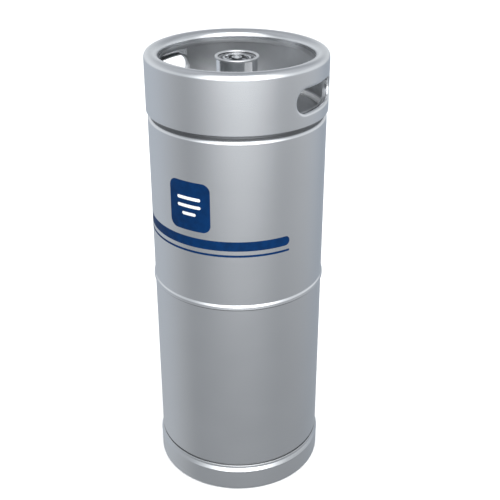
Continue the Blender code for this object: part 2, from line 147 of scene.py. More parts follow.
def smooth_object(name, verts, faces, material, merge):
    """A smooth object from vertices in metres, those closer than merge made one."""
    mesh = bpy.data.meshes.new(name)
    work = bmesh.new()
    corners = [work.verts.new(v) for v in verts]
    for face in faces:
        work.faces.new([corners[k] for k in face])
    bmesh.ops.remove_doubles(work, verts=work.verts, dist=merge)
    bmesh.ops.recalc_face_normals(work, faces=work.faces)
    work.to_mesh(mesh)
    work.free()
    mesh.shade_smooth()
    mesh.materials.append(material)
    item = bpy.data.objects.new(name, mesh)
    bpy.context.scene.collection.objects.link(item)
    return item


def piece(name, verts, faces, material, body, nodes):
    """A closed mesh that rides on a body and stands for CAD nodes."""
    item = smooth_object(name, verts, faces, material, 1e-8)
    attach(item, body)
    if nodes:
        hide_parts(*nodes)
    return item


def turned_grid(line, steps):
    """Vertices of a line in millimetres, turned about Z: point by point, column by column."""
    line = np.array(line, float) * MM
    turns = np.linspace(0, 2 * math.pi, steps, endpoint=False)
    r, z = line[:, 0:1], line[:, 1:2]
    grid = np.stack([r * np.cos(turns), r * np.sin(turns), z + 0 * turns], axis=-1)
    return grid.reshape(-1, 3).tolist()


def turned(name, line, material, body, nodes, steps=192, closed=True):
    line = supported(line, closed)
    count = len(line)
    faces = []
    for k in range(count if closed else count - 1):
        low, high = k * steps, (k + 1) % count * steps
        for j in range(steps):
            side = (j + 1) % steps
            if line[k][0] < 1e-6:
                faces.append((low, high + side, high + j))
            elif line[(k + 1) % count][0] < 1e-6:
                faces.append((low + j, low + side, high))
            else:
                faces.append((low + j, low + side, high + side, high + j))
    return piece(name, turned_grid(line, steps), faces, material, body, nodes)


def cut(item, boxes, bevel=0.2 * MM):
    """Cuts boxes out of a piece and rounds the new edges. A box is (size, centre, turn)."""
    cutters = []
    for size, centre, turn in boxes:
        bpy.ops.mesh.primitive_cube_add(size=1, location=centre)
        cutter = bpy.context.object
        cutter.scale = size
        cutter.rotation_euler.z = math.radians(turn)
        modifier = item.modifiers.new("Cut", "BOOLEAN")
        modifier.object = cutter
        cutters.append(cutter)
    soften = item.modifiers.new("Soften", "BEVEL")
    soften.width, soften.segments = bevel, 2
    soften.limit_method, soften.angle_limit = "ANGLE", math.radians(50)
    seen = item.evaluated_get(bpy.context.evaluated_depsgraph_get())
    mesh = bpy.data.meshes.new_from_object(seen)
    item.modifiers.clear()
    item.data = mesh
    for cutter in cutters:
        bpy.data.objects.remove(cutter)
    mesh.shade_smooth()
    mesh.set_sharp_from_angle(angle=math.radians(35))
    return item


# ---------------------------------------------------------------- materials

class Graph:
    """Short names for the nodes of one node tree."""

    def __init__(self, tree):
        self.tree = tree

    def node(self, kind, values=(), **settings):
        made = self.tree.nodes.new("ShaderNode" + kind)
        for key, value in settings.items():
            setattr(made, key, value)
        for key, value in dict(values).items():
            if isinstance(value, bpy.types.NodeSocket):
                self.tree.links.new(value, made.inputs[key])
            else:
                made.inputs[key].default_value = value
        return made

    def math(self, operation, first, second=0.0):
        return self.node("Math", {0: first, 1: second}, operation=operation).outputs[0]

    def span(self, value, low, high, to_low=0.0, to_high=1.0, smooth=True):
        """A value taken from one range to another, with soft ends."""
        kind = "SMOOTHSTEP" if smooth else "LINEAR"
        values = {"Value": value, "From Min": low, "From Max": high}
        values.update({"To Min": to_low, "To Max": to_high})
        return self.node("MapRange", values, interpolation_type=kind).outputs["Result"]

    def mix(self, share, first, second, blend="MIX"):
        values = {0: share, 6: first, 7: second}
        return self.node("Mix", values, data_type="RGBA", blend_type=blend).outputs[2]

    def noise(self, vector, scale, detail=3.0, w=None):
        values = {"Vector": vector, "Scale": scale, "Detail": detail}
        if w is not None:
            values["W"] = w
        made = self.node("TexNoise", values, noise_dimensions="3D" if w is None else "4D")
        return made.outputs["Fac"]


def new_material(name):
    material = bpy.data.materials.new(name)
    material.use_nodes = True
    graph = Graph(material.node_tree)
    return material, graph, material.node_tree.nodes["Principled BSDF"]


def around(graph, spread, fineness):
    """Coordinates whose noise runs in fine rings round the Z axis, on walls and ends alike."""
    place = graph.node("TexCoord").outputs["Object"]
    parts = graph.node("SeparateXYZ", {0: place}).outputs
    flat = graph.node("CombineXYZ", {0: parts[0], 1: parts[1]}).outputs[0]
    radius = graph.node("VectorMath", {0: flat}, operation="LENGTH").outputs["Value"]
    heading = graph.node("VectorMath", {0: flat}, operation="NORMALIZE").outputs[0]
    sides = graph.node("SeparateXYZ", {0: heading}).outputs
    vector = graph.node("CombineXYZ", {
        0: graph.math("MULTIPLY", sides[0], spread),
        1: graph.math("MULTIPLY", sides[1], spread),
        2: graph.math("MULTIPLY", radius, fineness),
    }).outputs[0]
    return place, vector, graph.math("MULTIPLY", parts[2], fineness), radius, parts


def between(graph, value, low, high, soft=0.4):
    """1 between two heights or radii in millimetres, 0 outside them, with soft ends."""
    rise = graph.span(value, (low - soft) * MM, low * MM)
    fall = graph.span(value, (high + soft) * MM, high * MM)
    return graph.math("MULTIPLY", rise, fall)


def band(graph, height, base, top, radius, inner, outer):
    """1 on the ring between those heights and radii in millimetres."""
    tall = between(graph, height, base, top, 0.2)
    return graph.math("MULTIPLY", tall, between(graph, radius, inner, outer, 0.2))


def shell_finish_and_painted_shade(graph, place, radius, height):
    """Painted shade and a rougher mill finish on the dome in the well, and painted shadow lines under
    the girth's bell and above the foot ring.
    """
    dome = between(graph, height, 530.9, ABOVE_ALL_Z)
    # Painted shadow: a dark line at the girth, just under the bell's edge.
    girth_shadow = between(graph, height, 298.5, 300.1, 0.2)
    # Painted shadow in the gap between the body's necking and the foot ring's top.
    foot_gap_shadow = band(graph, height, FOOT_GAP_Z, 45.7, radius, 0, 115.5)
    share = graph.math("MAXIMUM", dome, graph.math("MAXIMUM", girth_shadow, foot_gap_shadow))
    # Painted shade: the well's dome is painted darker than the body, in random blotches.
    blotches = graph.span(graph.noise(place, 22.0, 3.0), 0.35, 0.65)
    floor = graph.mix(blotches, (0.40, 0.41, 0.42, 1), (0.50, 0.51, 0.52, 1))
    # Painted shadow: a darker ring on the dome along the foot of the chime's inner band, then back near
    # the body's tone on the knuckle's top.
    floor = graph.mix(graph.span(radius, 0.099, 0.1065), floor, (0.20, 0.205, 0.21, 1))
    floor = graph.mix(graph.span(radius, 0.1088, 0.1094), floor, (0.66, 0.67, 0.68, 1))
    # Painted shadow: the girth line darkest, the foot gap less dark.
    painted_gap_shadows = graph.mix(foot_gap_shadow, (0.15, 0.155, 0.16, 1), (0.36, 0.37, 0.38, 1))
    return share, graph.mix(dome, painted_gap_shadows, floor)


def chime_finish_and_painted_shading(graph, place, radius, height):
    """A rougher mill finish and painted shade on the chime's inner wall, a painted highlight on its
    band, painted shade on the underside, and painted shadow above the foot ring.
    """
    # The inner wall gets a rougher finish and painted shade, clear of the handholes' flanges.
    wall = between(graph, height, 530.0, RIM_TOP_Z - 15, 5)
    wall = graph.math("MULTIPLY", wall, between(graph, radius, 0, 116.8, 0.5))
    sides = graph.node("SeparateXYZ", {0: place}).outputs
    past_end = graph.span(graph.math("ABSOLUTE", sides[1]), 0.045, 0.048)
    past_side = graph.math("ABSOLUTE", graph.math("SUBTRACT", height, HANDHOLE_Z * MM))
    past_side = graph.span(past_side, 0.0195, 0.0215)
    flange = graph.span(radius, 0.1125, 0.1105)
    clear = graph.math("MAXIMUM", graph.math("MAXIMUM", past_end, past_side), flange)
    wall = graph.math("MULTIPLY", wall, clear)
    # Painted shadow on the foot ring's top, in the gap under the body's necking.
    foot_gap_shadow = band(graph, height, FOOT_GAP_Z, 46.0, radius, 0, 115.9)
    # Painted shade: the inner wall darkens towards the rim on the -X half; the +X half stays light.
    tone = graph.mix(graph.span(height, 0.545, 0.585), (0.62, 0.63, 0.645, 1), (0.31, 0.32, 0.33, 1))
    tone = graph.mix(graph.span(sides[0], -0.05, 0.02), tone, (0.60, 0.615, 0.635, 1))
    blotches = graph.span(graph.noise(place, 22.0, 3.0), 0.35, 0.65, 0.84, 1.0)
    tone = graph.mix(1.0, tone, blotches, "MULTIPLY")
    # Painted light: the upward-facing band at the foot of the inner wall is painted near white.
    tone = graph.mix(graph.span(height, 0.5375, 0.5367), tone, (0.97, 0.975, 0.98, 1))
    # Painted shade on the chime's outer underside, over the body's shoulder.
    slope = graph.math("MULTIPLY", graph.math("SUBTRACT", height, 0.5328), 0.86)
    under = graph.span(graph.math("SUBTRACT", radius, graph.math("MAXIMUM", slope, 0.0)), 0.1121, 0.1128)
    under = graph.math("MULTIPLY", under, between(graph, height, 500, 537.8))
    tone = graph.mix(under, tone, (0.14, 0.145, 0.15, 1))
    tone = graph.mix(foot_gap_shadow, tone, (0.36, 0.37, 0.38, 1))
    return graph.math("MAXIMUM", wall, foot_gap_shadow), tone


def neck_dulling_and_painted_shade(graph, place, radius, height):
    """The short wall in the neck's mouth is painted dark as shade, and its lip is dulled."""
    facing = graph.node("SeparateXYZ", {0: graph.node("TexCoord").outputs["Normal"]}).outputs[2]
    upright = graph.span(graph.math("ABSOLUTE", facing), 0.6, 0.3)
    # Painted shade: the upright wall in the mouth is painted near black.
    bore = graph.math("MULTIPLY", band(graph, height, 601.1, 602.4, radius, 23.6, 24.6), upright)
    lip = between(graph, height, 601.2, ABOVE_ALL_Z, 0.2)
    tone = graph.mix(bore, (0.64, 0.65, 0.665, 1), (0.06, 0.06, 0.065, 1))
    return graph.math("MAXIMUM", bore, lip), tone


def steel(name, colour, roughness, lines=1300.0, depth=0.0005, mottle=0.012, uneven=0.012,
          finish_and_shade=None):
    """Satin steel: fine rings left by rolling or turning, over a faint uneven polish."""
    material, graph, shader = new_material(name)
    place, vector, w, radius, parts = around(graph, 2.5, lines)
    rings = graph.noise(vector, 1.0, 4.0, w)
    cloud = graph.noise(place, 16.0, 4.0)
    grain = graph.noise(place, 1400.0, 2.0)
    dark = tuple(c * (1 - mottle) for c in colour) + (1,)
    light = tuple(min(1.0, c * (1 + mottle)) for c in colour) + (1,)
    tone = graph.math("ADD", graph.math("MULTIPLY", cloud, 0.6), graph.math("MULTIPLY", rings, 0.4))
    paint = graph.mix(graph.span(tone, 0.3, 0.7), dark, light)
    rough = graph.math("ADD", graph.math("MULTIPLY", rings, 0.6), graph.math("MULTIPLY", cloud, 0.4))
    rough = graph.span(rough, 0.3, 0.7, roughness - uneven, roughness + uneven)
    if finish_and_shade:
        # The function passed in adds roughness and paints shade, and on the chime a highlight too, into
        # the colour.
        share, tone = finish_and_shade(graph, place, radius, parts[2])
        paint = graph.mix(share, paint, tone)
        rough = graph.math("ADD", rough, graph.math("MULTIPLY", share, 0.17))
    graph.tree.links.new(paint, shader.inputs["Base Color"])
    graph.tree.links.new(rough, shader.inputs["Roughness"])
    height = graph.math("ADD", rings, graph.math("MULTIPLY", grain, 0.25))
    bump = graph.node("Bump", {"Height": height, "Strength": 0.5, "Distance": depth * MM})
    graph.tree.links.new(bump.outputs[0], shader.inputs["Normal"])
    shader.inputs["Metallic"].default_value = 1.0
    return material


def moulded(name, colour, roughness, grain_size, depth, specular):
    """Rubber or plastic: a fine moulded grain and a faint cloudiness."""
    material, graph, shader = new_material(name)
    place = graph.node("TexCoord").outputs["Object"]
    cloud = graph.noise(place, 120.0, 4.0)
    grain = graph.noise(place, 1 / (grain_size * MM), 3.0)
    dark = tuple(c * 0.85 for c in colour) + (1,)
    light = tuple(min(1.0, c * 1.12) for c in colour) + (1,)
    paint = graph.mix(graph.span(cloud, 0.3, 0.7), dark, light)
    graph.tree.links.new(paint, shader.inputs["Base Color"])
    rough = graph.span(grain, 0.3, 0.7, roughness - 0.06, roughness + 0.06)
    graph.tree.links.new(rough, shader.inputs["Roughness"])
    bump = graph.node("Bump", {"Height": grain, "Strength": 0.6, "Distance": depth * MM})
    graph.tree.links.new(bump.outputs[0], shader.inputs["Normal"])
    shader.inputs["Specular IOR Level"].default_value = specular
    return material


BODY_TONE = (0.627, 0.642, 0.66)
BALL_TONE = (0.92, 0.93, 0.94)
NECK_TONE = (0.82, 0.83, 0.845)
VALVE_TONE = (0.50, 0.51, 0.525)
WIRE_TONE = (0.5, 0.51, 0.53)
HANDHOLE_Z = 568.8
FOOT_GAP_Z = 42.0
ABOVE_ALL_Z = 700.0
RIM_TOP_Z = reach("top_chime")[2]
shell_steel = steel("drawn_steel", BODY_TONE, 0.25, finish_and_shade=shell_finish_and_painted_shade)
chime_steel = steel("rolled_steel", BODY_TONE, 0.25, finish_and_shade=chime_finish_and_painted_shading)
neck_steel = steel("polished_neck_steel", NECK_TONE, 0.2, 2200.0, 0.0002, 0.02, 0.02, neck_dulling_and_painted_shade)
valve_steel = steel("turned_valve_steel", VALVE_TONE, 0.18, 2600.0, 0.0004, 0.03, 0.03)
ball_steel = steel("ground_ball_steel", BALL_TONE, 0.12, 3000.0, 0.0001, 0.01, 0.02)
wire_steel = steel("spring_wire_steel", WIRE_TONE, 0.28, 3000.0, 0.0006, 0.05, 0.04)
rubber = moulded("nitrile_rubber", (0.018, 0.018, 0.02), 0.5, 0.35, 0.01, 0.4)
acetal = moulded("white_acetal", (0.74, 0.74, 0.71), 0.42, 0.5, 0.006, 0.5)
ink = moulded("navy_ink", (0.0004, 0.019, 0.075), 0.5, 0.25, 0.004, 0.08)
pale_ink = moulded("pale_ink", (0.75, 0.77, 0.78), 0.4, 0.25, 0.004, 0.5)

# ---------------------------------------------------------------- vessel

SHELL_T = 1.5
TOP_CROWN_R = 240.0
TOP_KNUCKLE_R = 5.0
BASE_CROWN_R = 280.0
BASE_KNUCKLE_R = 7.5
NECK_R = 26.45
WELD_GAP = 0.3
BODY_R = 115.86
NECKED_R = 114.2
SUMP_Z = 8.2


def dished_end(wall_r, crown_r, knuckle_r, knuckle_z, hole_r, side):
    """Crown and knuckle from a hole in the middle out to the wall; side is 1 up, -1 down."""
    run = crown_r - knuckle_r
    knuckle_centre_r = wall_r - knuckle_r
    crown_centre_z = knuckle_z - side * math.sqrt(run ** 2 - knuckle_centre_r ** 2)
    hole_angle = math.degrees(math.acos(hole_r / crown_r))
    tangent_angle = math.degrees(math.acos(knuckle_centre_r / run))
    crown = arc(0, crown_centre_z, crown_r, side * hole_angle, side * tangent_angle, 18)
    knuckle = arc(knuckle_centre_r, knuckle_z, knuckle_r, side * tangent_angle, 0, 12)
    return crown + knuckle[1:]


def make_upper_shell():
    bell_r, base, _ = reach("upper_shell")
    line = dished_end(BODY_R, TOP_CROWN_R, TOP_KNUCKLE_R, 526.0, NECK_R + WELD_GAP, 1)
    line += [(BODY_R, base + 6.9, 2.0), (bell_r - 0.4, base + 4.8, 1.3), (bell_r, base + 1.1, 0.9)]
    line += [(bell_r - 0.5, base + 0.1)]
    turned("fine_upper_shell", sheet(line, SHELL_T), shell_steel, "keg", ["upper_shell"])


def make_lower_shell():
    _, _, top = reach("lower_shell")
    line = [(BODY_R - 0.5, top), (BODY_R - 0.5, 299.9, 0.3), (BODY_R, 299.0, 0.3)]
    line += [(BODY_R, 46.0, 0.5), (NECKED_R, 45.2, 0.5)]
    line += dished_end(NECKED_R, BASE_CROWN_R, BASE_KNUCKLE_R, 41.0, 24.0, -1)[::-1]
    line += [(18.0, SUMP_Z, 3.0), (0.0, SUMP_Z)]
    outer = rounded(line)
    inner = offset(outer, SHELL_T)
    inner[-1] = (0.0, SUMP_Z + SHELL_T)
    section = inner[::-1] + outer
    turned("fine_lower_shell", section, shell_steel, "keg", ["lower_shell"], closed=False)


# ---------------------------------------------------------------- top chime

CHIME_T = 2.0
CHIME_R = 117.5
SPIGOT_R = 113.4
CHIME_COLUMNS = 240
HANDHOLE_R = 15.0
HANDHOLE_RUN = 28.75
HANDHOLE_BEND = 4.25
FLANGE_T = 2.0
FLANGE_END_R = 108.5
PATCH_COLUMNS = 20
PATCH_ROWS = 12
PATCH_HEIGHT = 48.0
PATCH_LOOPS = 4


def chime_section():
    """The chime's section, with rows in its two walls where the handholes' patches join."""
    _, _, top = reach("top_chime")
    inner_r, inner_bend, crown_bend, outer_bend = 98.8, 7.6, 11.9, 8.2
    line = [(inner_r, top - 16.6), (inner_r, top - 8.6)]
    line += arc(inner_r + inner_bend, top - 8.6, inner_bend, 180, 130, 9)[1:]
    line += arc(109.16, top - crown_bend, crown_bend, 130, 90, 7)[1:]
    line += arc(CHIME_R - outer_bend, top - outer_bend, outer_bend, 90, 0, 14)
    rows = [HANDHOLE_Z + PATCH_HEIGHT * (0.5 - k / PATCH_ROWS) for k in range(PATCH_ROWS + 1)]
    line += [(CHIME_R, z) for z in rows]
    line += [(CHIME_R, 537.6, 0.5), (SPIGOT_R, 532.8, 1.6), (SPIGOT_R, 530.6)]
    section = supported(sheet(line, CHIME_T), closed=True)
    return section, rows


def row_index(section, r, z):
    gaps = [abs(p[0] - r) + abs(p[1] - z) for p in section]
    return int(np.argmin(gaps))


def patch_border(section, rows, r):
    """Grid places round a patch as (row in the section, column from the hole's middle)."""
    ranks = [row_index(section, r, z) for z in rows]
    half = PATCH_COLUMNS
    top = [(ranks[0], c) for c in range(-half, half)]
    right = [(rank, half) for rank in ranks[:-1]]
    base = [(ranks[-1], c) for c in range(half, -half, -1)]
    left = [(rank, -half) for rank in ranks[:0:-1]]
    return top + right + base + left


def bend_points(start, corner, end, steps):
    """A quarter bend from start to end, tangent to the lines through the corner."""
    start, corner, end = (np.array(p, float) for p in (start, corner, end))
    hold = 0.5523
    near, far = start + (corner - start) * hold, end + (corner - end) * hold
    made = []
    for k in range(steps + 1):
        t = k / steps
        s = 1 - t
        made.append(s ** 3 * start + 3 * s * s * t * near + 3 * s * t * t * far + t ** 3 * end)
    return made


def handhole_ray(y, z):
    """From a place on the patch's border through the wall, round the flange and back out.

    Places are (x, y, z) in millimetres for the hole at +X, with z from its middle.
    """
    foot = max(-HANDHOLE_RUN, min(HANDHOLE_RUN, y))
    way = np.array([y - foot, z])
    length = np.linalg.norm(way)
    way = way / length

    def on_wall(radius, distance):
        outer_y = foot + way[0] * distance
        angle = math.asin(outer_y / CHIME_R)
        return np.array([radius * math.cos(angle), radius * math.sin(angle), way[1] * distance])

    def fillet(radius, edge, steps):
        """From the wall to the flange's face at that distance from the hole's middle line."""
        start = on_wall(radius, HANDHOLE_R + HANDHOLE_BEND)
        run = (start[1] - foot) * way[0] + start[2] * way[1] - edge
        slope = way[0] * start[1] / start[0]
        corner = start + run * np.array([slope, -way[0], -way[1]])
        end = corner - np.array([run, 0, 0])
        return bend_points(start, corner, end, steps)

    def on_flange(x, edge):
        return np.array([x, foot + way[0] * edge, way[1] * edge])

    def across(radius):
        """Places on the wall from the patch's border in to the bend."""
        gap = HANDHOLE_R + HANDHOLE_BEND - length
        return [on_wall(radius, length + gap * k / PATCH_LOOPS) for k in range(1, PATCH_LOOPS)]

    outer = fillet(CHIME_R, HANDHOLE_R, 7)
    inner = fillet(CHIME_R - CHIME_T, HANDHOLE_R + FLANGE_T, 4)
    lip_y = foot + way[0] * HANDHOLE_R
    end_x = math.sqrt(FLANGE_END_R ** 2 - lip_y ** 2)
    edge = FLANGE_T * 0.45
    tip = [on_flange(end_x + edge, HANDHOLE_R)]
    for k in range(1, 8):
        a = math.pi * k / 8
        past_hole = FLANGE_T / 2 * (1 - math.cos(a))
        tip.append(on_flange(end_x + edge - edge * math.sin(a), HANDHOLE_R + past_hole))
    tip.append(on_flange(end_x + edge, HANDHOLE_R + FLANGE_T))
    return across(CHIME_R) + outer + tip + inner[::-1] + across(CHIME_R - CHIME_T)[::-1]


def make_top_chime():
    section, rows = chime_section()
    steps = CHIME_COLUMNS
    count = len(section)
    verts = turned_grid(section, steps)
    outer = sorted(row_index(section, CHIME_R, z) for z in rows)
    inner = sorted(row_index(section, CHIME_R - CHIME_T, z) for z in rows)
    walls = set(range(outer[0], outer[-1])) | set(range(inner[0], inner[-1]))
    faces = []
    for k in range(count):
        for j in range(steps):
            middle = j + 0.5
            near_right = min(middle, steps - middle) < PATCH_COLUMNS
            near_left = abs(middle - steps / 2) < PATCH_COLUMNS
            if k in walls and (near_right or near_left):
                continue
            side, up = (j + 1) % steps, (k + 1) % count * steps
            faces.append((k * steps + j, k * steps + side, up + side, up + j))
    borders = patch_border(section, rows, CHIME_R), patch_border(section, rows, CHIME_R - CHIME_T)
    for half_turn in (0, 1):
        rays = []
        for (rank, column), (back_rank, _) in zip(*borders):
            angle = 2 * math.pi * column / steps
            path = handhole_ray(CHIME_R * math.sin(angle), section[rank][1] - HANDHOLE_Z)
            sign = -1 if half_turn else 1
            place = (column + half_turn * steps // 2) % steps
            ray = [rank * steps + place]
            for x, y, z in path:
                ray.append(len(verts))
                verts.append((sign * x * MM, sign * y * MM, (z + HANDHOLE_Z) * MM))
            ray.append(back_rank * steps + place)
            rays.append(ray)
        for k, ray in enumerate(rays):
            beside = rays[(k + 1) % len(rays)]
            for a in range(len(ray) - 1):
                faces.append((ray[a], beside[a], beside[a + 1], ray[a + 1]))
    piece("fine_top_chime", verts, faces, chime_steel, "keg", ["top_chime"])


def make_foot_ring():
    outer_r, _, _ = reach("foot_ring")
    bend, inner_r, thickness = 5.6, 101.0, 1.8
    line = [(115.3, 42.9), (116.05, 42.5, 0.4), (116.3, 41.2, 0.6), (116.3, 39.0, 1.4)]
    line += [(outer_r, 33.1, 1.5), (outer_r - 0.2, 31.3, 1.5)]
    line += arc(outer_r - 0.2 - bend, bend, bend, 0, -90, 12)
    line += arc(inner_r + bend, bend, bend, -90, -180, 12)
    line += [(inner_r, 13.5)]
    section = sheet(line, thickness, 0.3)
    turned("fine_foot_ring", section, chime_steel, "keg", ["foot_ring"])


# ---------------------------------------------------------------- valve

NECK_BORE_R = 22.5
NECK_FOOT_BORE_R = 19.5
NECK_LEDGE_Z = 592.5
GROOVE_R = 24.0
GROOVE_BASE_Z = 598.4
GROOVE_TOP_Z = 600.2
HOUSING_R = 19.2
HOUSING_BORE_R = 17.4
HOUSING_BASE_Z = 554.0
HOUSING_FLANGE_R = 22.2
HOUSING_FLANGE_BASE_Z = 594.4
HOUSING_FLANGE_TOP_Z = 598.3
CROWN_R = 18.2
CROWN_BORE_R = 15.0
CROWN_TOP_Z = 601.4
SEAT_R = 13.2
SEAT_BASE_Z = 594.0
CAGE_BASE_Z = 530.0
CAGE_FLOOR_Z = 532.0
BUSH_BASE_Z = 528.0
BUSH_BORE_R = 6.5
PORT_Z = 542.0
WASHER_BASE_Z = 532.3
WASHER_TOP_Z = 533.3
STEM_R = 6.7
STEM_TOP_Z = 602.3
SKIRT_R = 8.0
SKIRT_TOP_Z = 587.9
SKIRT_BASE_Z = 581.0
SEAL_BORE_R = 7.0
SEAL_R = 15.6
SEAL_LIP_R = 12.8
TUBE_BASE_Z = 17.0
TUBE_TOP_Z = 587.3


def make_valve_neck():
    _, base, top = reach("valve_neck")
    mouth_r, mouth_bend, bead_r, bead_bend = 24.3, 1.8, 28.2, 1.3
    weld_z = 558.0
    line = arc(mouth_r + mouth_bend, top - mouth_bend, mouth_bend, 180, 90, 10)
    line += arc(bead_r - bead_bend, top - bead_bend, bead_bend, 90, -75, 16)
    line += [(NECK_R, top - 3.2, 0.3), (NECK_R, weld_z + 1.0, 1.4)]
    line += [(NECK_R + 2.6, weld_z - 1.6, 0.5), (NECK_R, weld_z - 2.4), (NECK_R, base, 0.4)]
    line += [(NECK_FOOT_BORE_R, base, 0.4), (NECK_FOOT_BORE_R, NECK_LEDGE_Z, 0.4)]
    line += [(NECK_BORE_R, NECK_LEDGE_Z, 0.3), (NECK_BORE_R, GROOVE_BASE_Z, 0.15)]
    line += [(GROOVE_R, GROOVE_BASE_Z, 0.15), (GROOVE_R, GROOVE_TOP_Z, 0.15)]
    line += [(NECK_BORE_R, GROOVE_TOP_Z, 0.15), (NECK_BORE_R, top - 3.4, 0.2)]
    line += [(mouth_r - 0.1, top - 3.1, 0.2)]
    ring_piece("valve_neck", line, neck_steel, "keg", 128)


def ring_piece(node, line, material, body, steps=96):
    """A closed section of (r, z, bend) turned into the finer piece for one CAD node."""
    section = rounded(line, closed=True)
    return turned("fine_" + node, section, material, body, [node], steps)


def block(inner, outer, base, top, bend=0.2):
    return bent([(inner, top), (outer, top), (outer, base), (inner, base)], bend)


def bent(corners, bend):
    return [(r, z, bend) for r, z in corners]


def make_retaining_ring():
    outer, base, top = reach("retaining_ring")
    section = block(20.9, outer, base, top, 0.25)
    ring = ring_piece("retaining_ring", section, wire_steel, "keg")
    cut(ring, [((10 * MM, 5 * MM, 6 * MM), (0, -22 * MM, base * MM), 90)])


def make_valve_body():
    line = [(CROWN_BORE_R, CROWN_TOP_Z, 0.6), (CROWN_R, CROWN_TOP_Z, 0.6)]
    line += [(CROWN_R, HOUSING_FLANGE_TOP_Z, 0.5), (HOUSING_FLANGE_R, HOUSING_FLANGE_TOP_Z, 0.3)]
    line += [(HOUSING_FLANGE_R, HOUSING_FLANGE_BASE_Z, 0.3), (HOUSING_R, HOUSING_FLANGE_BASE_Z, 0.4)]
    line += [(HOUSING_R, HOUSING_BASE_Z, 0.3), (HOUSING_BORE_R, HOUSING_BASE_Z, 0.3)]
    line += [(HOUSING_BORE_R, SEAT_BASE_Z, 0.3), (SEAT_R, SEAT_BASE_Z, 0.3)]
    line += [(SEAT_R, SEAT_BASE_Z + 1, 0.3), (CROWN_BORE_R, SEAT_BASE_Z + 2.4, 0.5)]
    housing = ring_piece("valve_body", line, valve_steel, "keg")
    lug_slots = (34 * MM, 9 * MM, 8 * MM)
    cut(housing, [(lug_slots, (0, 0, CROWN_TOP_Z * MM), 0)], 0.3 * MM)


def make_valve_cage():
    line = [(15.4, 560), (17.1, 560), (17.1, 553.7), (HOUSING_R, 553.7), (HOUSING_R, CAGE_BASE_Z)]
    line += [(8.8, CAGE_BASE_Z), (8.8, CAGE_FLOOR_Z), (HOUSING_BORE_R, CAGE_FLOOR_Z)]
    line += [(HOUSING_BORE_R, 551.5), (15.4, 553.2)]
    cage = ring_piece("valve_cage", bent(line, 0.3), acetal, "keg")
    ports, middle = (60 * MM, 12 * MM, 14 * MM), (0, 0, PORT_Z * MM)
    cut(cage, [(ports, middle, 0), (ports, middle, 90)], 0.4 * MM)


def make_guide_bush():
    line = [(BUSH_BORE_R, WASHER_TOP_Z), (10, WASHER_TOP_Z), (10, WASHER_BASE_Z)]
    line += [(8.5, WASHER_BASE_Z), (8.5, BUSH_BASE_Z), (BUSH_BORE_R, BUSH_BASE_Z)]
    ring_piece("guide_bush", bent(line, 0.2), acetal, "keg", 64)


def make_stem():
    line = [(4.6, STEM_TOP_Z, 0.3), (STEM_R, STEM_TOP_Z, 0.7), (STEM_R, SKIRT_TOP_Z, 0.3)]
    line += [(SKIRT_R, SKIRT_TOP_Z, 0.3), (SKIRT_R, SKIRT_BASE_Z, 0.3), (6.5, SKIRT_BASE_Z, 0.2)]
    line += [(6.5, 587.6, 0.2), (5.6, 587.6, 0.2), (5.6, 599.4, 0.4), (4.6, 600.2, 0.3)]
    ring_piece("stem_head", line, valve_steel, "stem", 80)
    section = block(SEAL_BORE_R, 15.2, 588.2, 589.4)
    ring_piece("seal_plate", section, valve_steel, "stem")
    line = [(SEAL_BORE_R, 596.6, 0.3), (SEAL_LIP_R, 596.6, 1.2), (SEAL_LIP_R, 593.7, 0.5)]
    line += [(SEAL_R, 593.7, 0.5), (SEAL_R, 589.7, 0.5), (SEAL_BORE_R, 589.7, 0.3)]
    ring_piece("gas_seal", line, rubber, "stem")
    section = block(5.4, 6.2, TUBE_BASE_Z, TUBE_TOP_Z)
    tube = ring_piece("down_tube", section, valve_steel, "stem", 64)
    cut(tube, [((40 * MM, 5 * MM, 8 * MM), (0, 0, TUBE_BASE_Z * MM), 0)])
    _, base, top = reach("ball_spring_seat")
    section = block(2.6, 5.1, base, top, 0.15)
    ring_piece("ball_spring_seat", section, valve_steel, "stem", 48)


def make_valve_ball():
    _, low, high = reach("valve_ball")
    line = arc(0, (low + high) / 2, (high - low) / 2, 90, -90, 32)
    line[0], line[-1] = (0.0, high), (0.0, low)
    turned("fine_valve_ball", line, ball_steel, "ball", ["valve_ball"], 64, closed=False)


def make_valve():
    make_valve_neck()
    section = block(19.8, HOUSING_FLANGE_R, 592.8, 594.1, 0.55)
    ring_piece("neck_seal", section, rubber, "keg")
    make_retaining_ring()
    make_valve_body()
    make_valve_cage()
    make_guide_bush()
    section = block(10.3, 14, WASHER_BASE_Z, WASHER_TOP_Z, 0.15)
    ring_piece("spring_washer", section, valve_steel, "keg")
    make_stem()
    make_valve_ball()


def coil(node, body, radius, wire_r, base, top, turns):
    """A round-wire spring with flat end turns."""
    per_turn, sides = 48, 12
    pitch = 2 * wire_r + WELD_GAP
    count = turns * per_turn
    verts, faces = [], []
    for k in range(count + 1):
        turn = k / per_turn
        if turn < 1:
            z = base + pitch * turn
        elif turn > turns - 1:
            z = top - pitch * (turns - turn)
        else:
            z = base + pitch + (turn - 1) / (turns - 2) * (top - base - 2 * pitch)
        angle = 2 * math.pi * turn
        for side in range(sides):
            a = 2 * math.pi * side / sides
            r = radius + wire_r * math.cos(a)
            wire_z = z + wire_r * math.sin(a)
            verts.append((r * math.cos(angle) * MM, r * math.sin(angle) * MM, wire_z * MM))
    for k in range(count):
        for side in range(sides):
            after = (side + 1) % sides
            low, high = k * sides, (k + 1) * sides
            faces.append((low + side, low + after, high + after, high + side))
    faces.append(tuple(range(sides)))
    faces.append(tuple(range(count * sides, (count + 1) * sides)))
    item = piece("fine_" + node, verts, faces, wire_steel, body, [node])
    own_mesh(item)


def make_springs():
    coil("gas_spring", "keg", 11.5, 0.9, 534.5, 586.9, turns=7)
    coil("ball_spring", "stem", 3.8, 0.4, 576.7, 591.4, turns=5)


# ---------------------------------------------------------------- print on the shell

LABEL_HEADING = -92.0
LABEL_Z = 440.0
INK_LIFT = 0.01
PALE_INK_LIFT = 0.07
INK_T = 0.05


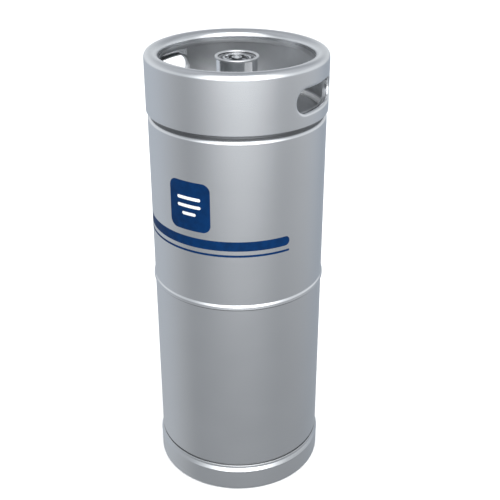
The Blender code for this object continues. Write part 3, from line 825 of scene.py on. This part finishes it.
def wrapped_panel(name, material, middle_z, width, height, corner, lift):
    """A thin panel with round corners that follows the wall under the label's heading."""
    half = width / 2
    bends = [half - corner * (1 - math.sin(math.radians(a))) for a in range(0, 91, 9)]
    flat = half - corner
    plain = list(np.linspace(-flat, flat, max(2, int(2 * flat / 2.0))))
    spots = [-b for b in reversed(bends)] + plain[1:-1] + bends
    verts, faces = [], []
    for s in spots:
        over = max(0.0, abs(s) - flat)
        rise = height / 2 - corner + math.sqrt(max(0.0, corner ** 2 - over ** 2))
        angle = math.radians(LABEL_HEADING) + s / BODY_R
        for radius in (BODY_R + lift, BODY_R + lift + INK_T):
            for z in (middle_z - rise, middle_z + rise):
                verts.append((radius * math.cos(angle) * MM, radius * math.sin(angle) * MM, z * MM))
    for k in range(len(spots) - 1):
        a, b = 4 * k, 4 * k + 4
        faces += [(a, b, b + 1, a + 1), (a + 2, a + 3, b + 3, b + 2)]
        faces += [(a, a + 2, b + 2, b), (a + 1, b + 1, b + 3, a + 3)]
    last = 4 * (len(spots) - 1)
    faces += [(0, 1, 3, 2), (last, last + 2, last + 3, last + 1)]
    item = piece(name, verts, faces, material, "keg", [])
    item.data.set_sharp_from_angle(angle=math.radians(30))


def make_print():
    """A blank panel with three bars, over two stripes; no lettering."""
    wrapped_panel("blank_panel", ink, LABEL_Z, 60.0, 66.0, 11.0, INK_LIFT)
    for number, (rise, width) in enumerate(((10.5, 34.0), (0.0, 34.0), (-10.5, 20.0))):
        bar_z = LABEL_Z + rise
        wrapped_panel(f"blank_bar_{number}", pale_ink, bar_z, width, 4.2, 2.0, PALE_INK_LIFT)
    wrapped_panel("wide_stripe", ink, 391.5, 268.0, 13.0, 6.4, INK_LIFT)
    wrapped_panel("thin_stripe", ink, 378.0, 268.0, 3.0, 1.45, INK_LIFT)


# ---------------------------------------------------------------- stage

CAMERA_PLACE = (0.5611, -0.9719, 0.8961)
CAMERA_PITCH = 63.185
CAMERA_HEADING = 29.155
CAMERA_LENS = 64.8
FRONT_HEADING = -54.5


def make_camera():
    camera = bpy.data.objects.new("camera", bpy.data.cameras.new("camera"))
    camera.data.lens = CAMERA_LENS
    camera.data.sensor_width = 36.0
    camera.location = CAMERA_PLACE
    camera.rotation_euler = (math.radians(CAMERA_PITCH), 0, math.radians(CAMERA_HEADING))
    bpy.context.scene.collection.objects.link(camera)
    bpy.context.scene.camera = camera


def make_floor():
    """A pale floor that curves up into a wall far behind the keg."""
    line = [(0.0, 0.0)] + [(r, 0.0) for r in (300, 1000, 2000, 3000, 4000)]
    line += arc(4000, 1500, 1500, -90, 0, 24)[1:] + [(5500, 6000)]
    steps = 128
    verts = turned_grid(line, steps)
    faces = []
    for k in range(len(line) - 1):
        for j in range(steps):
            side = (j + 1) % steps
            low, high = k * steps, (k + 1) * steps
            faces.append((low + j, low + side, high + side, high + j))
    material, graph, shader = new_material("studio_floor")
    place = graph.node("TexCoord").outputs["Object"]
    tone = graph.span(graph.noise(place, 1.5, 2.0), 0.3, 0.7)
    paint = graph.mix(tone, (0.86, 0.86, 0.86, 1), (0.88, 0.88, 0.88, 1))
    graph.tree.links.new(paint, shader.inputs["Base Color"])
    shader.inputs["Roughness"].default_value = 0.9
    shader.inputs["Specular IOR Level"].default_value = 0.0
    floor = smooth_object("studio_floor", verts, faces, material, 1e-6)
    floor.visible_glossy = False
    floor.visible_diffuse = False
    floor.visible_shadow = False


def make_world():
    """A soft studio: one large bright panel in front, a dim room round it, pale horizon."""
    world = bpy.data.worlds.new("studio")
    bpy.context.scene.world = world
    world.use_nodes = True
    graph = Graph(world.node_tree)
    way = graph.node("TexCoord").outputs["Generated"]
    up = graph.node("SeparateXYZ", {0: way}).outputs[2]
    level = graph.node("VectorMath", {0: way, 1: (1, 1, 0)}, operation="MULTIPLY").outputs[0]
    level = graph.node("VectorMath", {0: level}, operation="NORMALIZE").outputs[0]

    def toward(heading):
        a = math.radians(heading)
        values = {0: level, 1: (math.cos(a), math.sin(a), 0)}
        return graph.node("VectorMath", values, operation="DOT_PRODUCT").outputs["Value"]

    def cosine(angle):
        return math.cos(math.radians(angle))

    def sine(angle):
        return math.sin(math.radians(angle))

    def bell(heading, edge, power):
        """1 towards that heading, falling to 0 at the edge angle."""
        share = graph.span(toward(heading), cosine(edge), 1.0, smooth=False)
        return graph.math("POWER", share, power)

    front = toward(FRONT_HEADING)
    side_tone = (0.42, 0.435, 0.455, 1)
    back_tone = (0.44, 0.485, 0.545, 1)
    low = graph.mix(graph.span(front, cosine(80), cosine(140)), side_tone, back_tone)
    horizon = graph.mix(graph.span(up, sine(-12), sine(2)), low, (0.82, 0.85, 0.88, 1))
    sky = graph.mix(graph.span(up, sine(12), sine(40)), horizon, (0.48, 0.50, 0.53, 1))
    ground = graph.mix(graph.span(up, sine(-60), sine(-18)), (0.36, 0.375, 0.39, 1), sky)
    across = bell(FRONT_HEADING, 75, 2.4)
    lower, upper = graph.span(up, sine(-7), sine(-2)), graph.span(up, sine(70), sine(58))
    along = graph.math("MULTIPLY", lower, upper)
    spill = graph.math("MULTIPLY", graph.span(up, sine(-40), sine(-8)), 0.5)
    spill = graph.math("MULTIPLY", spill, graph.span(up, sine(0), sine(-3)))
    panel = graph.math("ADD", graph.math("MULTIPLY", along, 4.0), spill)
    panel = graph.math("MULTIPLY", across, panel)
    left = graph.math("MULTIPLY", bell(FRONT_HEADING - 125, 52, 1.0), 0.17)
    rise = graph.span(up, sine(-44), sine(-12))
    right = graph.math("MULTIPLY", bell(FRONT_HEADING + 92, 42, 1.0), rise)
    right = graph.math("MULTIPLY", right, 0.21)
    panel = graph.math("ADD", panel, graph.math("ADD", left, right))
    glow = graph.node("CombineColor", {0: panel, 1: panel, 2: panel}).outputs[0]
    total = graph.mix(1.0, ground, glow, "ADD")
    background = world.node_tree.nodes["Background"]
    graph.tree.links.new(total, background.inputs["Color"])
    background.inputs["Strength"].default_value = 1.0


def make_lights():
    """A soft light overhead that fills the floor; the steel doesn't mirror it."""
    light = bpy.data.lights.new("overhead", "AREA")
    light.shape = "DISK"
    light.size = 3.0
    light.energy = 60.0
    item = bpy.data.objects.new("overhead", light)
    item.location = (0, 0, 3.2)
    item.visible_glossy = False
    bpy.context.scene.collection.objects.link(item)


make_upper_shell()
make_lower_shell()
make_top_chime()
make_foot_ring()
make_valve()
make_springs()
make_print()
make_floor()
make_world()
make_lights()
make_camera()
bpy.context.scene.view_settings.view_transform = "Standard"
